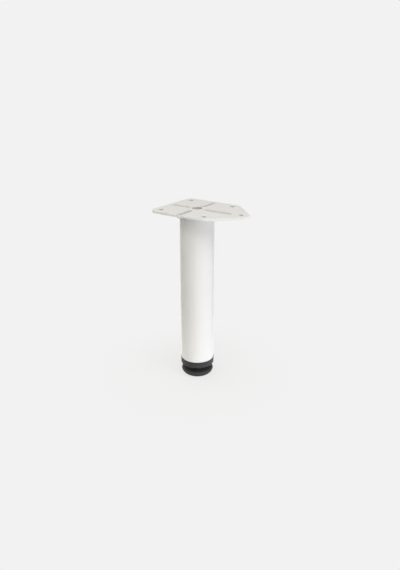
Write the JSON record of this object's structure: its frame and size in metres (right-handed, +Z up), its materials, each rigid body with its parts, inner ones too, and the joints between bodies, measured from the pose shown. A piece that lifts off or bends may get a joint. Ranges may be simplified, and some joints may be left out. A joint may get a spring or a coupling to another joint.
{
  "type": "furniture leg",
  "caption": "Round tubular steel furniture leg with a pressed, pointed mounting plate, crossed stiffening beads and a plastic foot that is adjusted by a screw.",
  "frame": {"origin": "centre of the foot's floor face, on the tube's axis, with the foot wound fully in", "axes": "+Z up along the tube towards the plate, +X along the plate's nose"},
  "size_m": [0.1015, 0.074, 0.2],
  "materials": {
    "white_coat": "satin powder coat",
    "black_plastic": "fine moulded grain",
    "zinc_steel": "bright zinc plate"
  },
  "bodies": {
    "leg": {"mounting_plate": "white_coat", "leg_tube": "white_coat", "weld_seam_1": "white_coat", "weld_seam_2": "white_coat", "weld_seam_3": "white_coat", "weld_seam_4": "white_coat", "foot_insert": "black_plastic", "insert_nut": "zinc_steel"},
    "pad": {"foot_pad": "black_plastic"},
    "stem": {"foot_stem": "zinc_steel"}
  },
  "joints": [
    {"name": "foot_lift", "type": "slide", "parent": "leg", "child": "pad", "axis": [0, 0, -1], "range_m": [0, 0.0125]},
    {"name": "stem_turn", "type": "hinge", "parent": "pad", "child": "stem", "pos_m": [0, 0, 0.0056], "axis": [0, 0, -1], "range_deg": [0, 3600]}
  ],
  "couplings": [
    {"joint": "stem_turn", "follows": "foot_lift", "rad_per_m": 5026.5}
  ]
}
